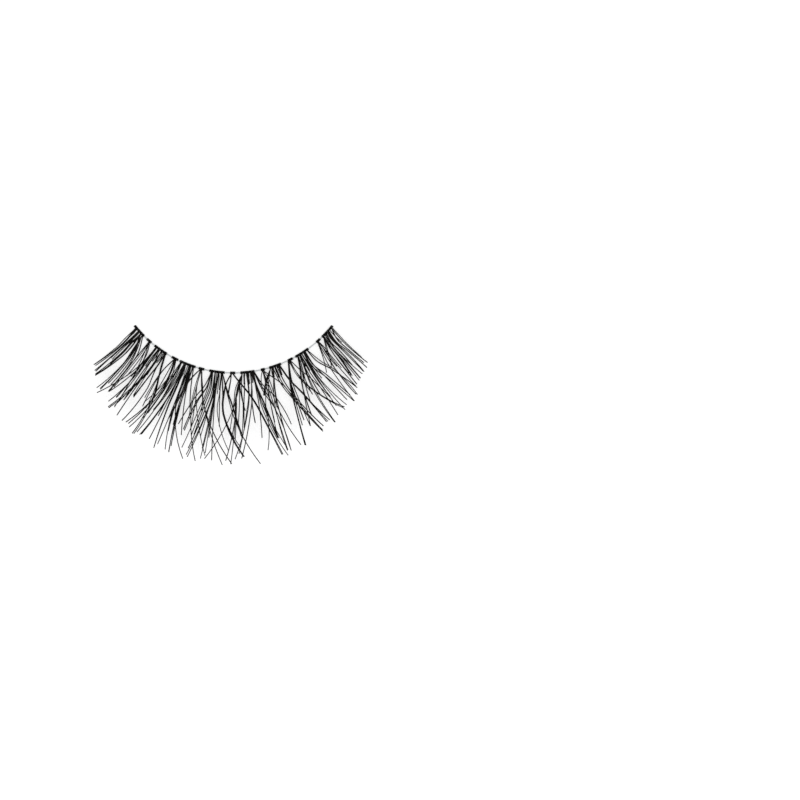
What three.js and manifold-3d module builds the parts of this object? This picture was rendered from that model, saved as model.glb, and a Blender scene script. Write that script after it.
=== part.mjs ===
// False eyelash strip: a clear thread bent into an arc, with tufts of hair knotted along it.
// Millimetres, +Z up. The strip lies on the plane z = 0 with its curl upwards. The origin is the middle of the thread,
// seen from above, on that plane. The arc bows towards -Y and the hairs fan out from its outer side.
import * as THREE from "three";
import { mergeVertices } from "three/addons/utils/BufferGeometryUtils.js";
import Module from "manifold-3d";

const wasm = await Module();
wasm.setup();

// The clear thread
const BAND_LENGTH = 31.7; // along the arc, end to end
const BAND_RADIUS = 17.8; // of the arc's centre line
const BAND_THICKNESS = 0.2;
const BAND_STEPS = 36;

// The knots: hair wound round the thread, with a waist between one knot and the next
const BORE_CLEARANCE = 0.02; // between thread and knot, all round
const KNOT_WALL = 0.09; // one turn of hair
const WAIST_WALL = 0.05; // what is left of it between two knots of a row
const KNOT_SHOULDER = 0.15; // length that rounds off at each end of a knot
const FLATS = 8; // sides of the thread and of the knots, with one flat on the plane

// The hairs
const LONGEST_REACH = 13.0; // of the longest hair, from the thread outwards, seen from above
const ROOT_DEPTH = 0.02; // how far a lock's root stands off the bore
const STEM_REACH = 0.9; // stretch that a lock takes to turn from its knot into its own heading
const STEM_WIDTH = 0.26;
const WIDTH_PER_HAIR = 0.085;
const LOCK_THICKNESS = 0.14;
const TIP_WIDTH = 0.1;
const TIP_THICKNESS = 0.08;
const WIDEST_SHARE = 0.35; // of a lock's reach, where it is widest

// The curl: the locks lie in nested curved surfaces, so that those which cross pass over each other
const CURL_HEIGHT = 5.0; // that the longest hair's tip rises above its belly
const RISE_REACH = 1.3; // where a lock has reached its own surface
const BELLY_REACH = 3.0; // where the curl begins
const CURL_STEP = 2.0; // length, seen from above, of the straight stretches that a curl is made of
const SURFACE_GAP = 0.05; // between locks that cross
const SURFACES_PER_TUFT = 2; // a tuft's locks lie in them by turns, because neighbours may cross

const BAND_HALF = BAND_THICKNESS / 2;
const BORE_HALF = BAND_HALF + BORE_CLEARANCE;
const KNOT_HALF = BORE_HALF + KNOT_WALL; // also the height of the thread's centre line above the plane
const SURFACE_STEP = LOCK_THICKNESS + SURFACE_GAP;
const CURL_RADIUS = (LONGEST_REACH - BELLY_REACH) ** 2 / (2 * CURL_HEIGHT); // of the lowest surface, where it begins

// Tufts from left to right. from and to are the ends of the row of knots, as shares of BAND_LENGTH from its middle.
// A lock has its stations root, mid (at half its reach) and tip in the same shares, its reach as a share of
// LONGEST_REACH, and its number of hairs. Tufts of a higher layer pass over those of a lower one.
const LOCK_COLUMNS = ["root", "mid", "tip", "reach", "hairs"];
const TUFTS = [
  { name: "tuft_01", from: -0.504, to: -0.44, knots: 4, layer: 0, locks: [
    [-0.492, -0.481, -0.486, 0.6, 4],
    [-0.478, -0.469, -0.472, 0.63, 4],
    [-0.464, -0.453, -0.461, 0.65, 4],
    [-0.456, -0.428, -0.433, 0.75, 4],
    [-0.448, -0.409, -0.397, 0.7, 5],
  ] },
  { name: "tuft_02", from: -0.422, to: -0.393, knots: 1, layer: 2, locks: [
    [-0.41, -0.401, -0.404, 0.66, 3],
    [-0.404, -0.382, -0.416, 0.77, 3],
  ] },
  { name: "tuft_03", from: -0.377, to: -0.309, knots: 4, layer: 1, locks: [
    [-0.37, -0.366, -0.38, 0.79, 3],
    [-0.363, -0.358, -0.358, 0.8, 4],
    [-0.352, -0.339, -0.333, 0.6, 5],
    [-0.338, -0.32, -0.342, 0.87, 3],
    [-0.333, -0.311, -0.322, 0.88, 2],
    [-0.318, -0.3, -0.292, 0.58, 5],
  ] },
  { name: "tuft_04", from: -0.286, to: -0.252, knots: 1, layer: 2, locks: [
    [-0.274, -0.272, -0.306, 0.87, 5],
    [-0.268, -0.252, -0.262, 0.89, 4],
  ] },
  { name: "tuft_05", from: -0.246, to: -0.169, knots: 4, layer: 0, locks: [
    [-0.24, -0.235, -0.231, 0.89, 4],
    [-0.221, -0.215, -0.208, 0.94, 5],
    [-0.203, -0.195, -0.178, 0.96, 6],
    [-0.185, -0.181, -0.169, 0.89, 4],
    [-0.18, -0.177, -0.133, 0.99, 2],
  ] },
  { name: "tuft_06", from: -0.157, to: -0.129, knots: 1, layer: 2, locks: [
    [-0.148, -0.149, -0.146, 0.72, 3],
    [-0.144, -0.132, -0.082, 0.92, 3],
    [-0.14, -0.078, -0.008, 0.98, 2],
  ] },
  { name: "tuft_07", from: -0.112, to: -0.038, knots: 4, layer: 1, locks: [
    [-0.1, -0.137, -0.154, 0.66, 3],
    [-0.096, -0.112, -0.126, 0.9, 4],
    [-0.081, -0.098, -0.119, 0.95, 4],
    [-0.069, -0.075, -0.087, 0.95, 3],
    [-0.066, -0.069, -0.059, 0.94, 3],
    [-0.053, -0.034, 0.03, 0.9, 4],
    [-0.048, 0.001, 0.068, 0.99, 2],
  ] },
  { name: "tuft_08", from: -0.0165, to: 0.0085, knots: 1, layer: 2, locks: [
    [-0.012, -0.041, -0.045, 0.6, 2],
    [-0.005, 0.082, 0.13, 0.94, 2],
  ] },
  { name: "tuft_09", from: 0.028, to: 0.097, knots: 4, layer: 0, locks: [
    [0.036, 0.002, -0.068, 0.94, 2],
    [0.038, 0.012, 0.002, 0.74, 4],
    [0.053, 0.031, 0.005, 0.92, 5],
    [0.072, 0.059, 0.021, 0.93, 4],
    [0.083, 0.093, 0.088, 0.8, 3],
    [0.086, 0.109, 0.134, 0.78, 5],
    [0.091, 0.128, 0.146, 0.92, 3],
  ] },
  { name: "tuft_10", from: 0.12, to: 0.141, knots: 1, layer: 2, locks: [
    [0.128, 0.126, 0.122, 0.5, 3],
    [0.134, 0.156, 0.174, 0.66, 2],
  ] },
  { name: "tuft_11", from: 0.156, to: 0.216, knots: 4, layer: 1, locks: [
    [0.162, 0.124, 0.128, 0.62, 4],
    [0.173, 0.15, 0.152, 0.91, 4],
    [0.178, 0.156, 0.185, 0.91, 2],
    [0.188, 0.218, 0.256, 0.84, 6],
    [0.205, 0.252, 0.278, 0.78, 4],
  ] },
  { name: "tuft_12", from: 0.246, to: 0.273, knots: 1, layer: 2, locks: [
    [0.25, 0.224, 0.21, 0.7, 4],
    [0.254, 0.21, 0.195, 0.9, 2],
    [0.262, 0.28, 0.336, 0.72, 3],
  ] },
  { name: "tuft_13", from: 0.284, to: 0.354, knots: 4, layer: 0, locks: [
    [0.29, 0.266, 0.268, 0.74, 4],
    [0.302, 0.291, 0.297, 0.82, 4],
    [0.315, 0.309, 0.314, 0.77, 3],
    [0.326, 0.322, 0.342, 0.74, 5],
    [0.341, 0.346, 0.37, 0.75, 5],
    [0.349, 0.388, 0.4, 0.69, 3],
  ] },
  { name: "tuft_14", from: 0.397, to: 0.421, knots: 1, layer: 2, locks: [
    [0.403, 0.389, 0.386, 0.6, 3],
    [0.408, 0.404, 0.408, 0.64, 3],
    [0.414, 0.436, 0.447, 0.6, 2],
  ] },
  { name: "tuft_15", from: 0.431, to: 0.504, knots: 4, layer: 1, locks: [
    [0.437, 0.426, 0.423, 0.58, 4],
    [0.452, 0.442, 0.434, 0.62, 5],
    [0.466, 0.452, 0.448, 0.59, 5],
    [0.476, 0.464, 0.454, 0.58, 3],
    [0.485, 0.475, 0.471, 0.58, 4],
    [0.495, 0.485, 0.481, 0.56, 4],
  ] },
];

const hairBlack = { color: 0x0d0c0c, roughness: 0.42, metalness: 0 };
const clearNylon = { color: 0xd9dcde, roughness: 0.12, metalness: 0, transparent: true, opacity: 0.4 };

const easeInOut = (x) => THREE.MathUtils.smoothstep(x, 0, 1);

// The angle about the arc's centre at a station, 0 at the middle of the band and growing towards +X.
const angleAt = (station) => (station * BAND_LENGTH) / BAND_RADIUS;

// A point at a station, out millimetres outwards from the thread's centre line, at height z.
function placeAt(station, out, z) {
  const angle = angleAt(station);
  const radius = BAND_RADIUS + out;
  return new THREE.Vector3(radius * Math.sin(angle), BAND_RADIUS - radius * Math.cos(angle), z);
}

const outwardAt = (station) => new THREE.Vector3(Math.sin(angleAt(station)), -Math.cos(angleAt(station)), 0);

class BandArc extends THREE.Curve {
  getPoint(t, target = new THREE.Vector3()) {
    return target.copy(placeAt(t - 0.5, 0, KNOT_HALF));
  }
}

// A regular polygon with a flat on each axis, half across the flats.
function flatSidedShape(half) {
  const corner = half / Math.cos(Math.PI / FLATS);
  const points = Array.from({ length: FLATS }, (_, k) => {
    const angle = (2 * Math.PI * (k + 0.5)) / FLATS;
    return new THREE.Vector2(corner * Math.cos(angle), corner * Math.sin(angle));
  });
  return new THREE.Shape(points);
}

function bandGeometry() {
  return new THREE.ExtrudeGeometry(flatSidedShape(BAND_HALF), {
    steps: BAND_STEPS,
    extrudePath: new BandArc(),
  });
}

// A row of knots: one drilled sleeve with a waist after each knot, turned straight and then bent along the arc.
function knotRowGeometry({ from, to, knots }) {
  const pitch = ((to - from) * BAND_LENGTH) / knots;
  const outside = [[BORE_HALF + WAIST_WALL, 0]];
  const bore = [[BORE_HALF, 0]];
  for (let k = 0; k < knots; k++) {
    const start = k * pitch;
    const end = start + pitch;
    outside.push([KNOT_HALF, start + KNOT_SHOULDER], [KNOT_HALF, end - KNOT_SHOULDER]);
    outside.push([BORE_HALF + WAIST_WALL, end]);
    bore.unshift([BORE_HALF, end]);
  }
  const profile = [...outside, ...bore, outside[0]].map(
    ([half, along]) => new THREE.Vector2(half / Math.cos(Math.PI / FLATS), along),
  );
  const row = new THREE.LatheGeometry(profile, FLATS, Math.PI / FLATS);
  row.rotateZ(-Math.PI / 2); // the sleeve now lies along +X
  const points = row.attributes.position;
  for (let i = 0; i < points.count; i++) {
    const station = from + points.getX(i) / BAND_LENGTH;
    const bent = placeAt(station, -points.getY(i), KNOT_HALF + points.getZ(i));
    points.setXYZ(i, bent.x, bent.y, bent.z);
  }
  return row;
}

const lockOf = (row) => Object.fromEntries(LOCK_COLUMNS.map((column, i) => [column, row[i]]));

// The station of a lock at a distance out from the thread: a parabola through its three stations, which leaves the
// knot squarely over the stem.
function stationOf(lock, out) {
  const t = out / (lock.reach * LONGEST_REACH);
  const bowed =
    lock.root * (1 - t) * (1 - 2 * t) + lock.mid * 4 * t * (1 - t) + lock.tip * t * (2 * t - 1);
  return THREE.MathUtils.lerp(lock.root, bowed, easeInOut(out / STEM_REACH));
}

// Height of a hair's centre line above the plane, and the slope of its surface, at a distance out. The lowest surface
// is a parabola, and the others lie above it by the same distance all along.
function curlAt(out, lift) {
  const x = Math.max(0, out - BELLY_REACH);
  const slope = x / CURL_RADIUS;
  const curled = LOCK_THICKNESS / 2 + x * slope / 2 + lift * Math.hypot(1, slope);
  return {
    height: THREE.MathUtils.lerp(KNOT_HALF, curled, easeInOut(out / RISE_REACH)),
    slope: Math.atan(slope),
  };
}

function widthOf(lock, share) {
  const widest = STEM_WIDTH + WIDTH_PER_HAIR * lock.hairs;
  return share < WIDEST_SHARE
    ? THREE.MathUtils.lerp(STEM_WIDTH, widest, easeInOut(share / WIDEST_SHARE))
    : THREE.MathUtils.lerp(widest, TIP_WIDTH, ((share - WIDEST_SHARE) / (1 - WIDEST_SHARE)) ** 1.4);
}

// The closed skin of rings with equally many points, each ring anticlockwise seen from the start.
function skinOf(rings) {
  const sides = rings[0].length;
  const faces = [];
  for (let k = 1; k < sides - 1; k++) {
    faces.push(0, k, k + 1);
  }
  for (let r = 0; r < rings.length - 1; r++) {
    for (let k = 0; k < sides; k++) {
      const a = r * sides + k;
      const b = r * sides + ((k + 1) % sides);
      faces.push(a, a + sides, b, b, a + sides, b + sides);
    }
  }
  const last = (rings.length - 1) * sides;
  for (let k = 1; k < sides - 1; k++) {
    faces.push(last, last + k + 1, last + k);
  }
  const geometry = new THREE.BufferGeometry().setFromPoints(rings.flat());
  return geometry.setIndex(faces);
}

// One lock: a flat tapering blade with a ridge along each face, lying in its curved surface.
function lockGeometry(lock, lift) {
  const reach = lock.reach * LONGEST_REACH;
  const outs = [BORE_HALF + ROOT_DEPTH, RISE_REACH / 2, RISE_REACH, BELLY_REACH];
  for (let out = BELLY_REACH + CURL_STEP; out < reach - CURL_STEP / 2; out += CURL_STEP) {
    outs.push(out);
  }
  outs.push(reach);
  const centres = outs.map((out) => placeAt(stationOf(lock, out), out, curlAt(out, lift).height));
  const rings = outs.map((out, i) => {
    const share = out / reach;
    const before = centres[Math.max(0, i - 1)];
    const after = centres[Math.min(outs.length - 1, i + 1)];
    const outward = outwardAt(stationOf(lock, out));
    const { slope } = curlAt(out, lift);
    const up = new THREE.Vector3(0, 0, Math.cos(slope)).addScaledVector(outward, -Math.sin(slope));
    const along = i === 0 ? outward : after.clone().sub(before).normalize();
    const side = along.clone().cross(up).normalize();
    const half = widthOf(lock, share) / 2;
    const thick = THREE.MathUtils.lerp(LOCK_THICKNESS, TIP_THICKNESS, share * share) / 2;
    return [
      centres[i].clone().addScaledVector(side, half),
      centres[i].clone().addScaledVector(up, thick),
      centres[i].clone().addScaledVector(side, -half),
      centres[i].clone().addScaledVector(up, -thick),
    ];
  });
  return skinOf(rings);
}

// A closed geometry as a solid that can be joined.
function solidOf(geometry) {
  const bare = geometry.clone();
  bare.deleteAttribute("normal");
  bare.deleteAttribute("uv");
  const merged = mergeVertices(bare, 1e-4);
  const mesh = new wasm.Mesh({
    numProp: 3,
    vertProperties: new Float32Array(merged.attributes.position.array),
    triVerts: new Uint32Array(merged.index.array),
  });
  mesh.merge();
  return new wasm.Manifold(mesh);
}

function geometryOf(solid) {
  const mesh = solid.getMesh();
  const positions = new Float32Array(mesh.numVert * 3);
  for (let i = 0; i < mesh.numVert; i++) {
    positions.set(mesh.vertProperties.subarray(i * mesh.numProp, i * mesh.numProp + 3), i * 3);
  }
  const geometry = new THREE.BufferGeometry();
  geometry.setAttribute("position", new THREE.BufferAttribute(positions, 3));
  geometry.setIndex(new THREE.BufferAttribute(new Uint32Array(mesh.triVerts), 1));
  geometry.computeVertexNormals();
  return geometry;
}

// A row of knots with its locks, joined into one body round the thread.
function tuftGeometry(tuft) {
  let body = solidOf(knotRowGeometry(tuft));
  tuft.locks.forEach((row, i) => {
    const surface = tuft.layer * SURFACES_PER_TUFT + (i % SURFACES_PER_TUFT);
    body = body.add(solidOf(lockGeometry(lockOf(row), surface * SURFACE_STEP)));
  });
  return geometryOf(body);
}

function meshOf(name, geometry, finish) {
  const mesh = new THREE.Mesh(geometry, new THREE.MeshStandardMaterial(finish));
  mesh.name = name;
  return mesh;
}

const strip = new THREE.Group();
strip.add(meshOf("band", bandGeometry(), clearNylon));
for (const tuft of TUFTS) {
  strip.add(meshOf(tuft.name, tuftGeometry(tuft), hairBlack));
}

export default strip;
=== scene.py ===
"""A false eyelash strip: clear thread, knots wound from hair, and the single hairs that leave them."""

import math
import random

import bmesh
import bpy
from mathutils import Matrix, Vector


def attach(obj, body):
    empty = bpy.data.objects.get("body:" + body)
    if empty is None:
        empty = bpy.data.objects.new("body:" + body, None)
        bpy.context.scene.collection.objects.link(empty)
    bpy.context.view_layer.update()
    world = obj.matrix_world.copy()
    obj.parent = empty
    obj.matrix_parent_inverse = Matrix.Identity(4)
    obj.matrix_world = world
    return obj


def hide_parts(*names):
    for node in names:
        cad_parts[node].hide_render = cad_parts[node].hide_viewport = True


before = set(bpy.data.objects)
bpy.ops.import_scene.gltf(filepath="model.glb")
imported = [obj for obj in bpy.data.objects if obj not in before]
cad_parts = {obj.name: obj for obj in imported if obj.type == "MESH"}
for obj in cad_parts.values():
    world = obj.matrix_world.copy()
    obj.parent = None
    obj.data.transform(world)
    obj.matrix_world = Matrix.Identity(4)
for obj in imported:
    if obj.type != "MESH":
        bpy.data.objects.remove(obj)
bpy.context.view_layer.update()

# The thread
# A clear nylon monofilament, drawn smooth and heat-set in an arc. It is one length from end to end and
# carries everything else: the hairs are knotted round it, and it shows bare between the tufts.
MM = 0.001
THREAD_LENGTH = 31.7 * MM  # along the arc
ARC_RADIUS = 17.8 * MM
THREAD_HALF = 0.1 * MM
THREAD_HEIGHT = 0.21 * MM  # of its centre line, which the knots hold off the floor
THREAD_POINTS = 97
THREAD_SIDES = 12
THREAD_TONE = 0.5  # sets only where its marks start
THREAD_GREY = "#b9bcbd"
THREAD_HAZE = "#cdd0d1"
DRAW_MARK_LENGTH = 0.9 * MM  # of the faint marks that drawing leaves along the thread
DRAW_MARK_WIDTH = 0.03 * MM
DRAW_MARK_DEPTH = 0.004 * MM
POLE_DISTANCE = 0.0001 * MM  # within which the points of an end ring become one pole


def linear(hex_colour):
    """An sRGB hex value as the linear colour that a shader takes."""
    parts = [int(hex_colour[i : i + 2], 16) / 255 for i in (1, 3, 5)]
    return (*((c / 12.92 if c <= 0.04045 else ((c + 0.055) / 1.055) ** 2.4) for c in parts), 1.0)


def on_arc(station, out=0.0, height=THREAD_HEIGHT):
    """The place at a station, in percent of the thread from its middle, and a distance outwards from it."""
    angle = station / 100 * THREAD_LENGTH / ARC_RADIUS
    reach = ARC_RADIUS + out
    return Vector((reach * math.sin(angle), ARC_RADIUS - reach * math.cos(angle), height))


def tubes(name, strands, sides):
    """One mesh of round tubes with closed ends. A strand has points, their radii and a tone of its own.

    The attribute "laid straight" holds where each place would be if its strand were straight along x.
    """
    curve = bpy.data.curves.new(name, "CURVE")
    curve.dimensions = "3D"
    curve.bevel_depth = 1.0  # the points' radii are then real radii
    curve.bevel_resolution = sides // 2 - 2
    for strand in strands:
        points, radii = strand["points"], strand["radii"]
        first = points[0] + (points[0] - points[1]).normalized() * radii[0] / 2
        last = points[-1] + (points[-1] - points[-2]).normalized() * radii[-1] / 2
        spline = curve.splines.new("POLY")
        spline.points.add(len(points) + 1)
        for point, place, radius in zip(spline.points, [first, *points, last], [0.0, *radii, 0.0]):
            point.co = (*place, 1.0)
            point.radius = radius
    holder = bpy.data.objects.new(name, curve)
    bpy.context.scene.collection.objects.link(holder)
    mesh = bpy.data.meshes.new_from_object(holder.evaluated_get(bpy.context.evaluated_depsgraph_get()))
    bpy.data.objects.remove(holder)
    mesh.name = name
    tones = []
    straight = []
    for strand in strands:
        along = strand["tone"]  # each strand then has a stretch of the pattern to itself
        places = [strand["points"][0], *strand["points"], strand["points"][-1]]
        radii = [strand["radii"][0], *strand["radii"], strand["radii"][-1]]
        for before, here, radius in zip([places[0], *places], places, radii):
            along += (here - before).length
            for side in range(sides):
                around = 2 * math.pi * side / sides
                tones.append(strand["tone"])
                straight += (along, radius * math.cos(around), radius * math.sin(around))
    mesh.attributes.new("tone", "FLOAT", "POINT").data.foreach_set("value", tones)
    mesh.attributes.new("laid straight", "FLOAT_VECTOR", "POINT").data.foreach_set("vector", straight)
    shape = bmesh.new()
    shape.from_mesh(mesh)
    bmesh.ops.remove_doubles(shape, verts=shape.verts, dist=POLE_DISTANCE)
    bmesh.ops.recalc_face_normals(shape, faces=shape.faces)
    for face in shape.faces:
        face.smooth = True
    shape.to_mesh(mesh)
    shape.free()
    return mesh


def add_node(tree, kind, settings=None, **inputs):
    """Adds a shader node. An input is a value or a socket to link from, under its name with _ for a space."""
    node = tree.nodes.new(kind)
    for name, value in (settings or {}).items():
        setattr(node, name, value)
    for name, value in inputs.items():
        socket = node.inputs[name.replace("_", " ")]
        if isinstance(value, bpy.types.NodeSocket):
            tree.links.new(value, socket)
        else:
            socket.default_value = value
    return node


def new_material(name):
    """An empty material, and its node tree."""
    material = bpy.data.materials.new(name)
    material.use_nodes = True
    material.node_tree.nodes.clear()
    return material, material.node_tree


def drawn_nylon():
    """Nylon drawn through a die: clear, faintly hazy, with marks along it that break the gloss a little."""
    material, tree = new_material("drawn nylon monofilament")
    place = add_node(tree, "ShaderNodeAttribute", {"attribute_name": "laid straight"})
    stretched = add_node(
        tree, "ShaderNodeMapping", Vector=place.outputs["Vector"],
        Scale=(1 / DRAW_MARK_LENGTH, 1 / DRAW_MARK_WIDTH, 1 / DRAW_MARK_WIDTH),
    )
    marks = add_node(tree, "ShaderNodeTexNoise", Vector=stretched.outputs["Vector"], Scale=1.0, Detail=3.0)
    haze = add_node(
        tree, "ShaderNodeMix", {"data_type": "RGBA"},
        Factor=marks.outputs["Fac"], A=linear(THREAD_GREY), B=linear(THREAD_HAZE),
    )
    gloss = add_node(tree, "ShaderNodeMapRange", Value=marks.outputs["Fac"], To_Min=0.08, To_Max=0.2)
    relief = add_node(
        tree, "ShaderNodeBump", Height=marks.outputs["Fac"], Strength=0.15, Distance=DRAW_MARK_DEPTH,
    )
    shader = add_node(
        tree, "ShaderNodeBsdfPrincipled", Roughness=gloss.outputs["Result"], IOR=1.53,
        Transmission_Weight=1.0, Normal=relief.outputs["Normal"],
    )
    tree.links.new(haze.outputs["Result"], shader.inputs["Base Color"])
    add_node(tree, "ShaderNodeOutputMaterial", Surface=shader.outputs["BSDF"])
    return material


def add_piece(name, mesh, material, slot, *nodes):
    """Puts a finished mesh in the scene in place of its CAD nodes, riding on the strip's one body."""
    mesh.materials.append(material)
    piece = bpy.data.objects.new(name, mesh)
    bpy.context.scene.collection.objects.link(piece)
    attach(piece, "root")
    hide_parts(*nodes)


thread_path = [on_arc(100 * k / (THREAD_POINTS - 1) - 50) for k in range(THREAD_POINTS)]
thread_strand = {"points": thread_path, "radii": [THREAD_HALF] * THREAD_POINTS, "tone": THREAD_TONE}
add_piece("thread", tubes("thread", [thread_strand], THREAD_SIDES), drawn_nylon(), "clear_thread", "band")

# The tufts
# Black polyester fibres, cut to length, heat-set in a curl and tied round the thread. The hair that is wound
# into a knot is the hair that leaves it. Each knot holds three to eleven hairs, which part into a fan and
# cross their neighbours.
HAIR_HALF = 0.069 * MM
HAIR_HALF_SPREAD = 0.15  # how much thicker or thinner a hair may be, as a share
TIP_SHARE = 0.96  # of a hair's thickness left at its tip
LONGEST_REACH = 13.0 * MM  # outwards from the thread, seen from above
HAIR_POINTS = 17
HAIR_SIDES = 6
POINT_CROWDING = 1.25  # above 1 sets the points closer near the knot, where a hair bends most
TAPER_POWER = 2.5  # above 1 keeps the thinning near the tip
ROOT_OUT = 0.08 * MM  # hairs start under the turns of their knot
STEM_REACH = 0.5 * MM  # a hair turns from its knot to its own heading over this stretch
STEM_DEPTH = 0.07 * MM
HAIR_STEPS = (0.16, 0.26, 0.26, 0.26)  # between a strand's hairs at root, near, half and tip, in percent
HAIR_SPREADS = (0.1, 0.08, 0.08, 0.08)  # that each hair departs from its place there
REACH_SPREAD = 0.5  # percent of LONGEST_REACH
SINK_REACH = 1.3 * MM  # over which a hair goes from its knot to the surface that it lies in
BELLY_REACH = 3.0 * MM  # the hairs lie on the floor up to here and curl up beyond
CURL_HEIGHT = 4.8 * MM  # of the longest tip above its belly
CURL_SPREAD = 0.02
CURL_RADIUS = (LONGEST_REACH - BELLY_REACH) ** 2 / (2 * CURL_HEIGHT)
REST_HEIGHT = 0.09 * MM  # of the lowest hairs' centre lines above the floor
SURFACE_STEP = 0.16 * MM  # between the two surfaces that the hairs of one tuft lie in
SURFACE_JITTER = 0.04 * MM  # that a hair rides above its surface
LAYER_STEP = 2 * SURFACE_STEP  # tufts of a higher layer pass over those of a lower one
TURN_PITCH = 0.1 * MM  # from one turn of a knot to the next
TURN_POINTS = 12
TURN_HALF = 0.045 * MM  # the hair is pulled flat and thin in a knot
TURN_SLACK = 0.004 * MM
WAIST_DIP = 0.015 * MM  # how much lower the turns lie between two knots
KNOT_TONE = 0.15
FIBRE_BLACK = "#030303"
FIBRE_BROWN = "#15110f"
STREAK_LENGTH = 1.2 * MM
STREAK_WIDTH = 0.02 * MM

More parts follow.
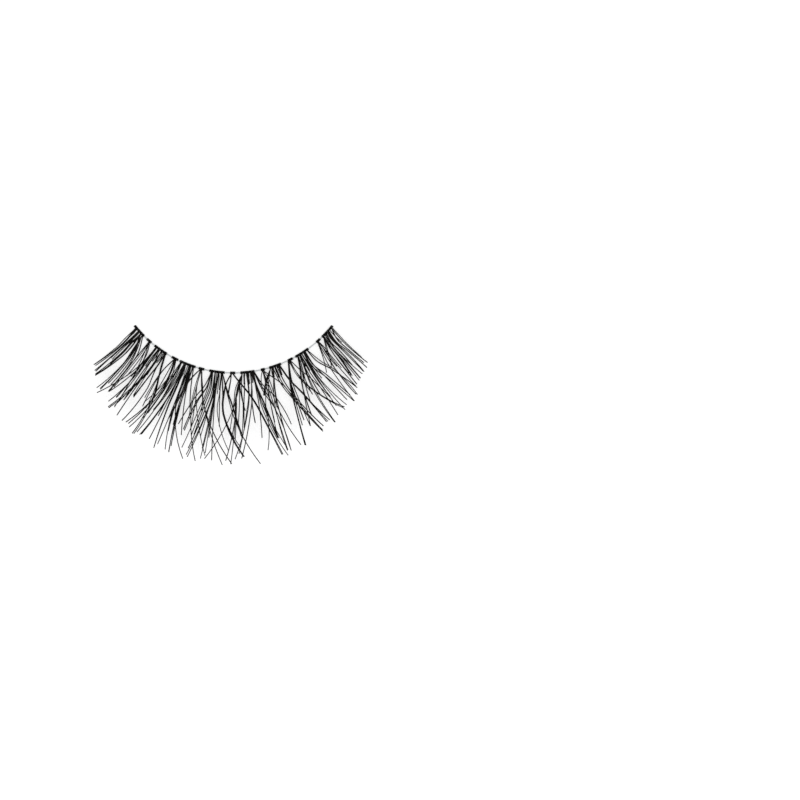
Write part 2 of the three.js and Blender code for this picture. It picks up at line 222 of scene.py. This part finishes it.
# Each tuft has the ends of its row of knots, the middles of its knots, its layer and its strands. A strand
# leaves its knot at root, passes near and half, which are a quarter and half of the way out, and ends at tip.
# Stations are in percent of the thread and reaches in percent of LONGEST_REACH.
COURSE_SHARES = (0.0, 0.25, 0.5, 1.0)  # of the way out, at root, near, half and tip
STRAND_COLUMNS = ("root", "near", "half", "tip", "reach", "hairs")
TUFTS = [
    {"ends": (-50.2, -43.7), "knots": (-49.0, -47.2, -45.7, -44.5), "layer": 0, "strands": [
        (-48.9, -48.5, -48.0, -48.5, 61, 1), (-48.7, -47.7, -47.5, -48.4, 60, 2),
        (-47.1, -46.8, -46.9, -46.9, 64, 2), (-47.0, -46.4, -46.3, -46.3, 43, 2),
        (-47.1, -45.8, -45.5, -46.0, 66, 1), (-45.7, -44.4, -44.3, -46.0, 66, 2),
        (-45.7, -45.3, -44.7, -45.6, 60, 1), (-45.7, -45.6, -45.3, -45.3, 47, 1),
        (-44.6, -43.2, -42.4, -43.1, 75, 1), (-44.6, -43.0, -42.1, -42.1, 74, 2),
        (-44.6, -41.8, -40.3, -39.6, 70, 1), (-45.7, -42.4, -41.0, -40.6, 62, 1),
        (-44.1, -41.0, -40.1, -39.8, 66, 1), (-45.7, -42.8, -41.7, -41.5, 64, 1),
        (-48.3, -48.2, -48.0, -47.8, 12, 2), (-46.5, -46.5, -46.4, -46.4, 14, 2),
        (-45.2, -45.2, -45.1, -45.0, 13, 2),
    ]},
    {"ends": (-42.2, -39.3), "knots": (-40.7,), "layer": 2, "strands": [
        (-40.6, -40.2, -40.1, -39.8, 70, 1), (-40.4, -39.7, -39.5, -39.5, 62, 1),
        (-40.4, -39.3, -38.7, -38.6, 44, 1), (-40.3, -38.1, -36.8, -35.5, 79, 1),
        (-40.2, -37.7, -36.8, -36.9, 70, 1), (-40.0, -38.1, -37.3, -37.3, 42, 1),
    ]},
    {"ends": (-37.7, -30.9), "knots": (-36.8, -35.1, -33.4, -31.8), "layer": 1, "strands": [
        (-36.5, -37.1, -38.2, -41.9, 79, 1), (-36.5, -36.9, -37.3, -39.7, 70, 1),
        (-36.6, -36.7, -36.3, -37.9, 78, 1), (-36.4, -36.3, -36.4, -36.9, 70, 1),
        (-36.2, -36.0, -36.0, -35.9, 62, 1), (-35.1, -35.1, -35.1, -34.7, 66, 1),
        (-35.0, -34.7, -34.5, -34.5, 67, 1), (-34.9, -33.6, -33.4, -33.1, 57, 1),
        (-33.5, -33.4, -34.2, -37.0, 83, 2), (-33.5, -33.4, -34.2, -35.7, 78, 1),
        (-33.4, -33.4, -33.9, -33.9, 84, 1), (-31.8, -31.7, -32.2, -32.8, 58, 2),
        (-31.8, -31.6, -30.6, -31.8, 86, 1), (-35.3, -35.4, -35.5, -35.5, 24, 1),
        (-34.5, -34.5, -34.4, -34.4, 15, 1), (-33.0, -32.9, -33.0, -33.1, 32, 1),
        (-32.4, -32.4, -32.4, -32.5, 13, 1), (-31.6, -30.2, -28.6, -27.7, 62, 1),
        (-31.6, -29.4, -27.3, -27.5, 92, 2),
    ]},
    {"ends": (-28.6, -25.2), "knots": (-26.8,), "layer": 2, "strands": [
        (-27.1, -28.7, -29.4, -29.7, 52, 1), (-26.9, -27.0, -27.1, -27.4, 48, 1),
        (-26.6, -25.8, -26.7, -30.6, 85, 1), (-26.6, -25.8, -26.6, -29.8, 86, 1),
        (-26.6, -25.7, -26.3, -29.2, 87, 1), (-26.4, -25.7, -26.2, -29.1, 57, 1),
        (-26.3, -25.3, -24.8, -25.2, 42, 1), (-27.0, -28.7, -29.2, -28.9, 61, 1),
    ]},
    {"ends": (-24.6, -16.9), "knots": (-23.6, -21.8, -20.0, -18.1), "layer": 0, "strands": [
        (-23.5, -24.1, -24.7, -26.9, 89, 1), (-23.5, -24.6, -25.4, -27.0, 72, 1),
        (-23.5, -24.3, -25.0, -26.5, 66, 1), (-23.5, -23.5, -24.0, -25.1, 58, 1),
        (-24.0, -24.6, -25.1, -25.4, 38, 1), (-22.3, -22.7, -23.5, -25.4, 60, 2),
        (-21.9, -22.3, -23.1, -25.7, 90, 2), (-21.9, -22.1, -22.5, -23.0, 90, 1),
        (-21.9, -22.1, -22.6, -23.5, 63, 1), (-21.6, -21.6, -21.7, -21.1, 96, 2),
        (-21.6, -21.5, -21.7, -21.7, 58, 1), (-21.4, -21.0, -21.2, -21.4, 36, 1),
        (-20.0, -20.2, -20.0, -20.5, 91, 1), (-20.0, -19.8, -20.1, -18.2, 95, 1),
        (-20.0, -19.7, -19.7, -19.4, 66, 1), (-20.6, -20.3, -19.9, -18.9, 75, 1),
        (-19.3, -18.8, -18.6, -17.0, 96, 1), (-19.0, -18.5, -18.2, -16.9, 90, 1),
        (-18.2, -18.1, -18.3, -17.1, 95, 1), (-18.3, -18.5, -18.8, -18.3, 66, 1),
        (-19.6, -19.1, -19.1, -13.1, 98.7, 1), (-18.1, -18.0, -17.2, -15.1, 75, 1),
        (-17.9, -17.1, -16.3, -14.8, 44, 1),
    ]},
    {"ends": (-15.7, -12.9), "knots": (-14.4,), "layer": 2, "strands": [
        (-14.8, -17.6, -18.9, -20.2, 61, 1), (-14.7, -17.4, -18.6, -19.6, 50, 1),
        (-14.6, -15.0, -14.9, -14.3, 56, 1), (-14.4, -14.2, -12.2, -7.5, 91, 1),
        (-14.4, -14.4, -13.8, -9.9, 98, 1), (-14.1, -11.8, -8.7, -0.5, 97.5, 1),
        (-14.1, -11.7, -8.8, -2.8, 100, 1), (-14.1, -12.9, -11.9, -10.6, 45, 1),
        (-14.4, -14.2, -13.5, -13.0, 66, 1),
    ]},
    {"ends": (-10.9, -3.8), "knots": (-9.7, -8.1, -6.6, -5.1), "layer": 1, "strands": [
        (-9.7, -11.3, -14.0, -16.8, 64, 1), (-9.7, -10.4, -12.8, -14.8, 68, 2),
        (-9.6, -10.3, -11.7, -13.9, 87, 1), (-8.1, -7.7, -9.2, -12.3, 95, 2),
        (-8.1, -8.3, -9.9, -12.3, 86, 1), (-9.4, -9.5, -10.8, -12.2, 72, 1),
        (-9.3, -8.9, -10.0, -11.6, 70, 1), (-6.7, -7.4, -8.3, -9.7, 71, 1), (-6.8, -6.9, -7.5, -8.7, 95, 1),
        (-6.8, -7.1, -7.8, -8.6, 84, 1), (-6.6, -7.0, -7.1, -7.1, 72, 1), (-7.9, -7.3, -7.4, -7.6, 88, 1),
        (-6.5, -6.7, -6.5, -5.6, 95, 1), (-5.3, -5.2, -5.0, -4.4, 58, 1), (-5.4, -5.3, -5.5, -1.3, 84, 1),
        (-5.1, -4.15, -3.6, 2.1, 81, 1), (-5.1, -4.05, -3.3, 2.9, 90, 2), (-4.9, -2.1, 0.4, 6.9, 99, 1),
        (-4.9, -2.8, -0.5, 2.5, 69, 2), (-7.2, -7.2, -7.2, -7.2, 18, 1), (-6.3, -6.2, -6.1, -6.0, 24, 1),
        (-5.6, -5.6, -5.5, -5.5, 20, 1),
    ]},
    {"ends": (-1.65, 0.85), "knots": (-0.5,), "layer": 2, "strands": [
        (-0.9, -2.9, -3.5, -3.7, 42, 2), (-1.0, -1.2, -1.6, -2.1, 25, 2), (-0.3, 6.0, 9.2, 12.9, 94, 2),
    ]},
    {"ends": (2.9, 9.4), "knots": (3.8, 5.6, 7.2, 8.6), "layer": 0, "strands": [
        (3.8, 1.0, 0.5, -1.9, 94.5, 1), (3.8, 1.0, 0.4, -0.6, 97, 1), (3.8, 1.3, 1.0, 0.6, 71, 1),
        (3.8, 0.8, 0.2, -1.1, 62, 1), (3.8, 2.4, 2.3, 1.5, 58, 1), (3.9, 1.4, -1.2, -7.5, 94, 1),
        (3.8, 2.6, 2.7, 4.0, 41, 1), (3.9, 3.0, 3.4, 2.4, 70, 1), (4.9, 4.5, 3.8, 3.3, 60, 1),
        (5.9, 6.0, 4.4, 0.4, 93, 1), (5.8, 5.8, 4.3, 1.5, 87, 1), (7.3, 7.1, 5.5, 2.1, 93, 1),
        (7.4, 7.2, 6.7, 6.8, 56, 1), (8.7, 8.6, 8.9, 8.5, 72, 1), (8.8, 9.4, 11.1, 9.5, 86, 1),
        (8.1, 9.3, 10.7, 12.9, 75, 3), (8.3, 9.2, 11.0, 14.7, 90.5, 1), (8.8, 9.2, 10.3, 14.3, 97, 1),
        (9.0, 11.3, 14.2, 15.5, 92, 1), (9.2, 10.9, 12.9, 15.1, 60, 1), (9.3, 11.9, 15.4, 17.5, 65, 1),
        (4.6, 4.6, 4.5, 4.4, 12, 2), (6.4, 6.4, 6.3, 6.3, 13, 2), (7.9, 7.9, 8.0, 8.0, 12, 1),
    ]},
    {"ends": (12.0, 14.1), "knots": (12.9,), "layer": 2, "strands": [
        (12.9, 13.6, 14.0, 14.7, 90.5, 1), (12.9, 14.3, 15.2, 18.4, 90, 1), (12.8, 11.9, 11.5, 11.2, 20, 1),
        (12.9, 12.9, 12.9, 12.9, 60, 1), (12.9, 14.0, 14.6, 15.0, 28, 1), (13.1, 19.2, 21.3, 25.4, 84, 1),
    ]},
    {"ends": (15.8, 21.6), "knots": (16.6, 17.9, 19.3, 20.7), "layer": 1, "strands": [
        (16.5, 14.7, 13.1, 11.3, 27, 2), (16.5, 13.8, 12.0, 10.9, 50, 1), (16.5, 13.8, 13.1, 12.8, 66, 1),
        (17.6, 15.3, 14.2, 14.5, 91, 1), (17.8, 15.8, 15.1, 15.4, 91, 1), (17.6, 16.6, 15.8, 14.7, 44, 1),
        (17.6, 18.7, 21.1, 25.3, 84.6, 1), (18.4, 19.3, 21.6, 25.3, 84, 1), (19.3, 20.0, 21.9, 26.1, 80, 1),
        (20.5, 22.3, 24.6, 27.5, 77.5, 2), (20.5, 22.4, 24.6, 28.5, 78.5, 1),
        (17.2, 17.1, 16.9, 16.8, 12, 3), (18.6, 18.6, 18.7, 18.8, 14, 3), (20.0, 20.0, 20.1, 20.2, 12, 2),
    ]},
    {"ends": (24.6, 27.3), "knots": (25.6,), "layer": 2, "strands": [
        (25.0, 22.1, 20.6, 19.5, 90.5, 2), (25.1, 22.5, 21.6, 20.7, 70, 1), (25.2, 22.7, 22.0, 21.5, 65, 1),
        (25.2, 23.0, 22.5, 22.7, 74, 1), (25.3, 25.9, 27.9, 33.8, 74, 2), (25.9, 27.6, 29.7, 31.9, 56, 1),
        (25.7, 25.8, 26.3, 27.5, 43, 1),
    ]},
    {"ends": (28.4, 35.4), "knots": (29.5, 31.1, 32.8, 34.4), "layer": 0, "strands": [
        (29.5, 27.4, 25.5, 24.2, 64, 2), (29.6, 27.1, 25.1, 22.7, 73, 1), (29.7, 28.4, 27.1, 25.6, 52, 1),
        (29.4, 28.4, 27.8, 27.3, 45, 1), (29.8, 29.3, 28.7, 27.6, 27, 1), (30.6, 29.2, 28.6, 29.3, 82, 2),
        (31.0, 29.9, 29.7, 29.6, 48, 1), (31.0, 30.6, 30.8, 31.2, 77, 1), (31.5, 31.4, 31.4, 32.0, 56, 1),
        (32.5, 31.8, 31.7, 32.1, 67, 1), (32.5, 32.3, 32.5, 32.9, 35, 1), (32.6, 32.2, 32.4, 34.7, 73, 1),
        (32.6, 32.0, 32.1, 33.4, 76, 1), (32.7, 32.6, 34.5, 37.1, 75, 1), (33.0, 33.1, 35.0, 37.3, 67, 1),
        (33.6, 33.3, 34.4, 35.6, 69, 1), (34.4, 35.1, 37.8, 40.2, 65.5, 1), (34.3, 34.9, 37.5, 40.0, 60, 1),
        (30.3, 30.3, 30.2, 30.2, 15, 2), (31.6, 31.6, 31.6, 31.6, 24, 1), (30.9, 30.9, 30.9, 30.9, 20, 1),
        (34.7, 36.3, 38.5, 38.9, 71, 1),
    ]},
    {"ends": (39.7, 42.1), "knots": (40.8,), "layer": 2, "strands": [
        (40.2, 39.1, 38.1, 35.3, 33, 1), (40.3, 38.3, 37.4, 37.0, 75, 1), (40.4, 39.2, 38.9, 38.8, 70, 1),
        (40.7, 40.4, 40.2, 40.1, 64, 1), (40.7, 40.4, 39.9, 39.8, 34, 1), (40.8, 40.9, 40.7, 40.6, 38, 1),
    ]},
    {"ends": (43.1, 50.1), "knots": (43.9, 45.5, 47.1, 48.9), "layer": 1, "strands": [
        (43.7, 40.2, 38.8, 38.8, 70, 1), (43.6, 42.3, 40.9, 38.1, 31, 1), (43.8, 42.3, 41.5, 40.8, 63, 1),
        (43.8, 42.5, 41.7, 41.3, 49, 1), (44.0, 43.0, 42.7, 41.4, 52, 2), (44.0, 43.1, 42.8, 42.1, 61, 1),
        (45.4, 43.6, 43.4, 42.9, 61, 2), (45.4, 43.7, 43.5, 44.3, 59, 1), (45.6, 44.4, 44.3, 44.0, 44, 1),
        (47.0, 45.5, 45.5, 45.1, 58, 2), (47.1, 45.9, 46.4, 46.7, 58, 1), (48.8, 46.9, 46.8, 47.0, 52, 1),
        (48.9, 48.1, 47.7, 47.8, 55, 1), (49.2, 48.7, 48.2, 48.0, 46, 1), (44.6, 44.3, 44.0, 43.8, 16, 1),
        (46.2, 45.9, 45.6, 45.4, 18, 2), (47.8, 47.5, 47.3, 47.2, 20, 1),
    ]},
]


def ease(x):
    """From 0 to 1 with a soft start and a soft stop."""
    x = min(max(x, 0.0), 1.0)
    return x * x * (3 - 2 * x)


def mix(a, b, share):
    """The value at a share of the way from a to b."""
    return a + (b - a) * share


def hair_height(out, lift, curl, root_height):
    """Height of a hair's centre line: from its knot down to its surface, then up along the curl."""
    x = max(0.0, out - BELLY_REACH)
    slope = x / CURL_RADIUS
    curled = REST_HEIGHT + curl * x * slope / 2 + lift * math.hypot(1, slope)
    return mix(root_height, curled, ease(out / SINK_REACH))


def course(stations, share):
    """The station at a share of the way out, on a smooth line through the four of COURSE_SHARES."""
    slopes = []
    for k in range(4):
        before, after = max(k - 1, 0), min(k + 1, 3)
        rise = stations[after] - stations[before]
        slopes.append(rise / (COURSE_SHARES[after] - COURSE_SHARES[before]))
    slopes[3] = 2 * slopes[3] - slopes[2]  # a hair keeps bending up to its tip
    k = sum(share >= limit for limit in COURSE_SHARES[1:3])
    span = COURSE_SHARES[k + 1] - COURSE_SHARES[k]
    t = (share - COURSE_SHARES[k]) / span
    lean = t * (1 - t) * span * ((1 - t) * slopes[k] - t * slopes[k + 1])
    return mix(stations[k], stations[k + 1], ease(t)) + lean


def hair(strand, beside, lift, rng):
    """One hair of a strand, beside the strand's middle by some hairs, with its own small departures."""
    stations = []
    for name, step, spread in zip(STRAND_COLUMNS, HAIR_STEPS, HAIR_SPREADS):
        stations.append(strand[name] + beside * step + rng.gauss(0, spread))
    reach = (strand["reach"] + rng.gauss(0, REACH_SPREAD)) / 100 * LONGEST_REACH
    curl = 1 + rng.gauss(0, CURL_SPREAD)
    root_height = THREAD_HEIGHT + rng.uniform(-STEM_DEPTH, STEM_DEPTH)
    lift += rng.uniform(0, SURFACE_JITTER)
    half = HAIR_HALF * (1 + rng.uniform(-HAIR_HALF_SPREAD, HAIR_HALF_SPREAD))
    points = []
    radii = []
    for k in range(HAIR_POINTS):
        share = (k / (HAIR_POINTS - 1)) ** POINT_CROWDING
        out = mix(ROOT_OUT, reach, share)
        station = mix(stations[0], course(stations, share), ease(out / STEM_REACH))
        points.append(on_arc(station, out, hair_height(out, lift, curl, root_height)))
        radii.append(half * mix(1.0, TIP_SHARE, share ** TAPER_POWER))
    return {"points": points, "radii": radii, "tone": rng.random()}


def wound_row(ends, knots, rng):
    """The hair wound round the thread along a row of knots, tighter between one knot and the next."""
    start, end = (station / 100 * THREAD_LENGTH for station in ends)
    start += TURN_HALF
    end -= TURN_HALF
    turns = round((end - start) / TURN_PITCH)
    points = []
    radii = []
    edges = [(a + b) / 2 / 100 * THREAD_LENGTH for a, b in zip(knots, knots[1:])]
    for k in range(turns * TURN_POINTS + 1):
        along = mix(start, end, k / (turns * TURN_POINTS))
        around = 2 * math.pi * k / TURN_POINTS
        dip = sum(math.exp(-(((along - edge) / TURN_PITCH) ** 2)) for edge in edges)
        reach = THREAD_HALF + TURN_HALF + WAIST_DIP * (1 - min(dip, 1.0)) + rng.uniform(0, TURN_SLACK)
        out = reach * math.cos(around)
        height = THREAD_HEIGHT + reach * math.sin(around)
        points.append(on_arc(along / THREAD_LENGTH * 100, out, height))
        radii.append(TURN_HALF)
    return {"points": points, "radii": radii, "tone": KNOT_TONE}


def dyed_polyester():
    """Polyester dyed black in the melt: satin, with a brown cast in some hairs and streaks along them."""
    material, tree = new_material("dyed polyester fibre")
    tone = add_node(tree, "ShaderNodeAttribute", {"attribute_name": "tone"})
    cast = add_node(
        tree, "ShaderNodeMix", {"data_type": "RGBA"},
        Factor=tone.outputs["Fac"], A=linear(FIBRE_BLACK), B=linear(FIBRE_BROWN),
    )
    place = add_node(tree, "ShaderNodeAttribute", {"attribute_name": "laid straight"})
    stretched = add_node(
        tree, "ShaderNodeMapping", Vector=place.outputs["Vector"],
        Scale=(1 / STREAK_LENGTH, 1 / STREAK_WIDTH, 1 / STREAK_WIDTH),
    )
    streaks = add_node(tree, "ShaderNodeTexNoise", Vector=stretched.outputs["Vector"], Scale=1.0, Detail=2.0)
    sheen = add_node(tree, "ShaderNodeMapRange", Value=streaks.outputs["Fac"], To_Min=0.38, To_Max=0.6)
    shader = add_node(
        tree, "ShaderNodeBsdfPrincipled", Roughness=sheen.outputs["Result"], IOR=1.5, Specular_IOR_Level=0.1,
    )
    tree.links.new(cast.outputs["Result"], shader.inputs["Base Color"])
    add_node(tree, "ShaderNodeOutputMaterial", Surface=shader.outputs["BSDF"])
    return material


fibre = dyed_polyester()
for number, tuft in enumerate(TUFTS, 1):
    rng = random.Random(number)
    strands = [wound_row(tuft["ends"], tuft["knots"], rng)]
    for place, row in enumerate(tuft["strands"]):
        strand = dict(zip(STRAND_COLUMNS, row))
        lift = tuft["layer"] * LAYER_STEP + (place % 2) * SURFACE_STEP
        middle = (strand["hairs"] - 1) / 2
        strands += [hair(strand, k - middle, lift, rng) for k in range(strand["hairs"])]
    name = f"lashes_{number:02d}"
    add_piece(name, tubes(name, strands, HAIR_SIDES), fibre, "lash_hair", f"tuft_{number:02d}")

# The studio
# A sheet of opal acrylic, lit from below and under even white light from all round, as for a catalogue
# picture. The camera looks straight down from high above, and its place puts the strip in the left half.
FLOOR_HALF = 1000 * MM
MOTTLE_SIZE = 25 * MM
SHEET_LOW = "#bcbcbc"
SHEET_HIGH = "#c4c4c4"
SKY_STRENGTH = 1.0
SHEET_GLOW = 0.58  # of the lamps under it
CAMERA_X = 23.3 * MM
CAMERA_Y = -3.8 * MM
FRAME_WIDTH = 112 * MM  # that the picture takes in at the floor
LENS = 1000.0  # so long that the curled tips aren't shifted outwards
SENSOR = 36.0


def opal_sheet():
    """Opal acrylic, matt on top and lit from below, with the faintest mottle."""
    material, tree = new_material("opal acrylic")
    place = add_node(tree, "ShaderNodeTexCoord")
    mottle = add_node(tree, "ShaderNodeTexNoise", Vector=place.outputs["Object"], Scale=1 / MOTTLE_SIZE)
    white = add_node(
        tree, "ShaderNodeMix", {"data_type": "RGBA"},
        Factor=mottle.outputs["Fac"], A=linear(SHEET_LOW), B=linear(SHEET_HIGH),
    )
    shader = add_node(
        tree, "ShaderNodeBsdfPrincipled", Roughness=0.9, Specular_IOR_Level=0.0,
        Emission_Color=(1.0, 1.0, 1.0, 1.0), Emission_Strength=SHEET_GLOW,
    )
    tree.links.new(white.outputs["Result"], shader.inputs["Base Color"])
    add_node(tree, "ShaderNodeOutputMaterial", Surface=shader.outputs["BSDF"])
    return material


scene = bpy.context.scene
bpy.ops.mesh.primitive_plane_add(size=2 * FLOOR_HALF)
floor = bpy.context.object
floor.name = "floor"
floor.data.materials.append(opal_sheet())

sky = bpy.data.worlds.new("white sky")
sky.use_nodes = True
sky.node_tree.nodes["Background"].inputs["Color"].default_value = (1.0, 1.0, 1.0, 1.0)
sky.node_tree.nodes["Background"].inputs["Strength"].default_value = SKY_STRENGTH
scene.world = sky
scene.view_settings.view_transform = "Standard"

camera_data = bpy.data.cameras.new("camera")
camera_data.sensor_width = SENSOR
camera_data.lens = LENS
camera_data.clip_start = 0.01
camera = bpy.data.objects.new("camera", camera_data)
camera.location = (CAMERA_X, CAMERA_Y, FRAME_WIDTH * LENS / SENSOR)
scene.collection.objects.link(camera)
scene.camera = camera
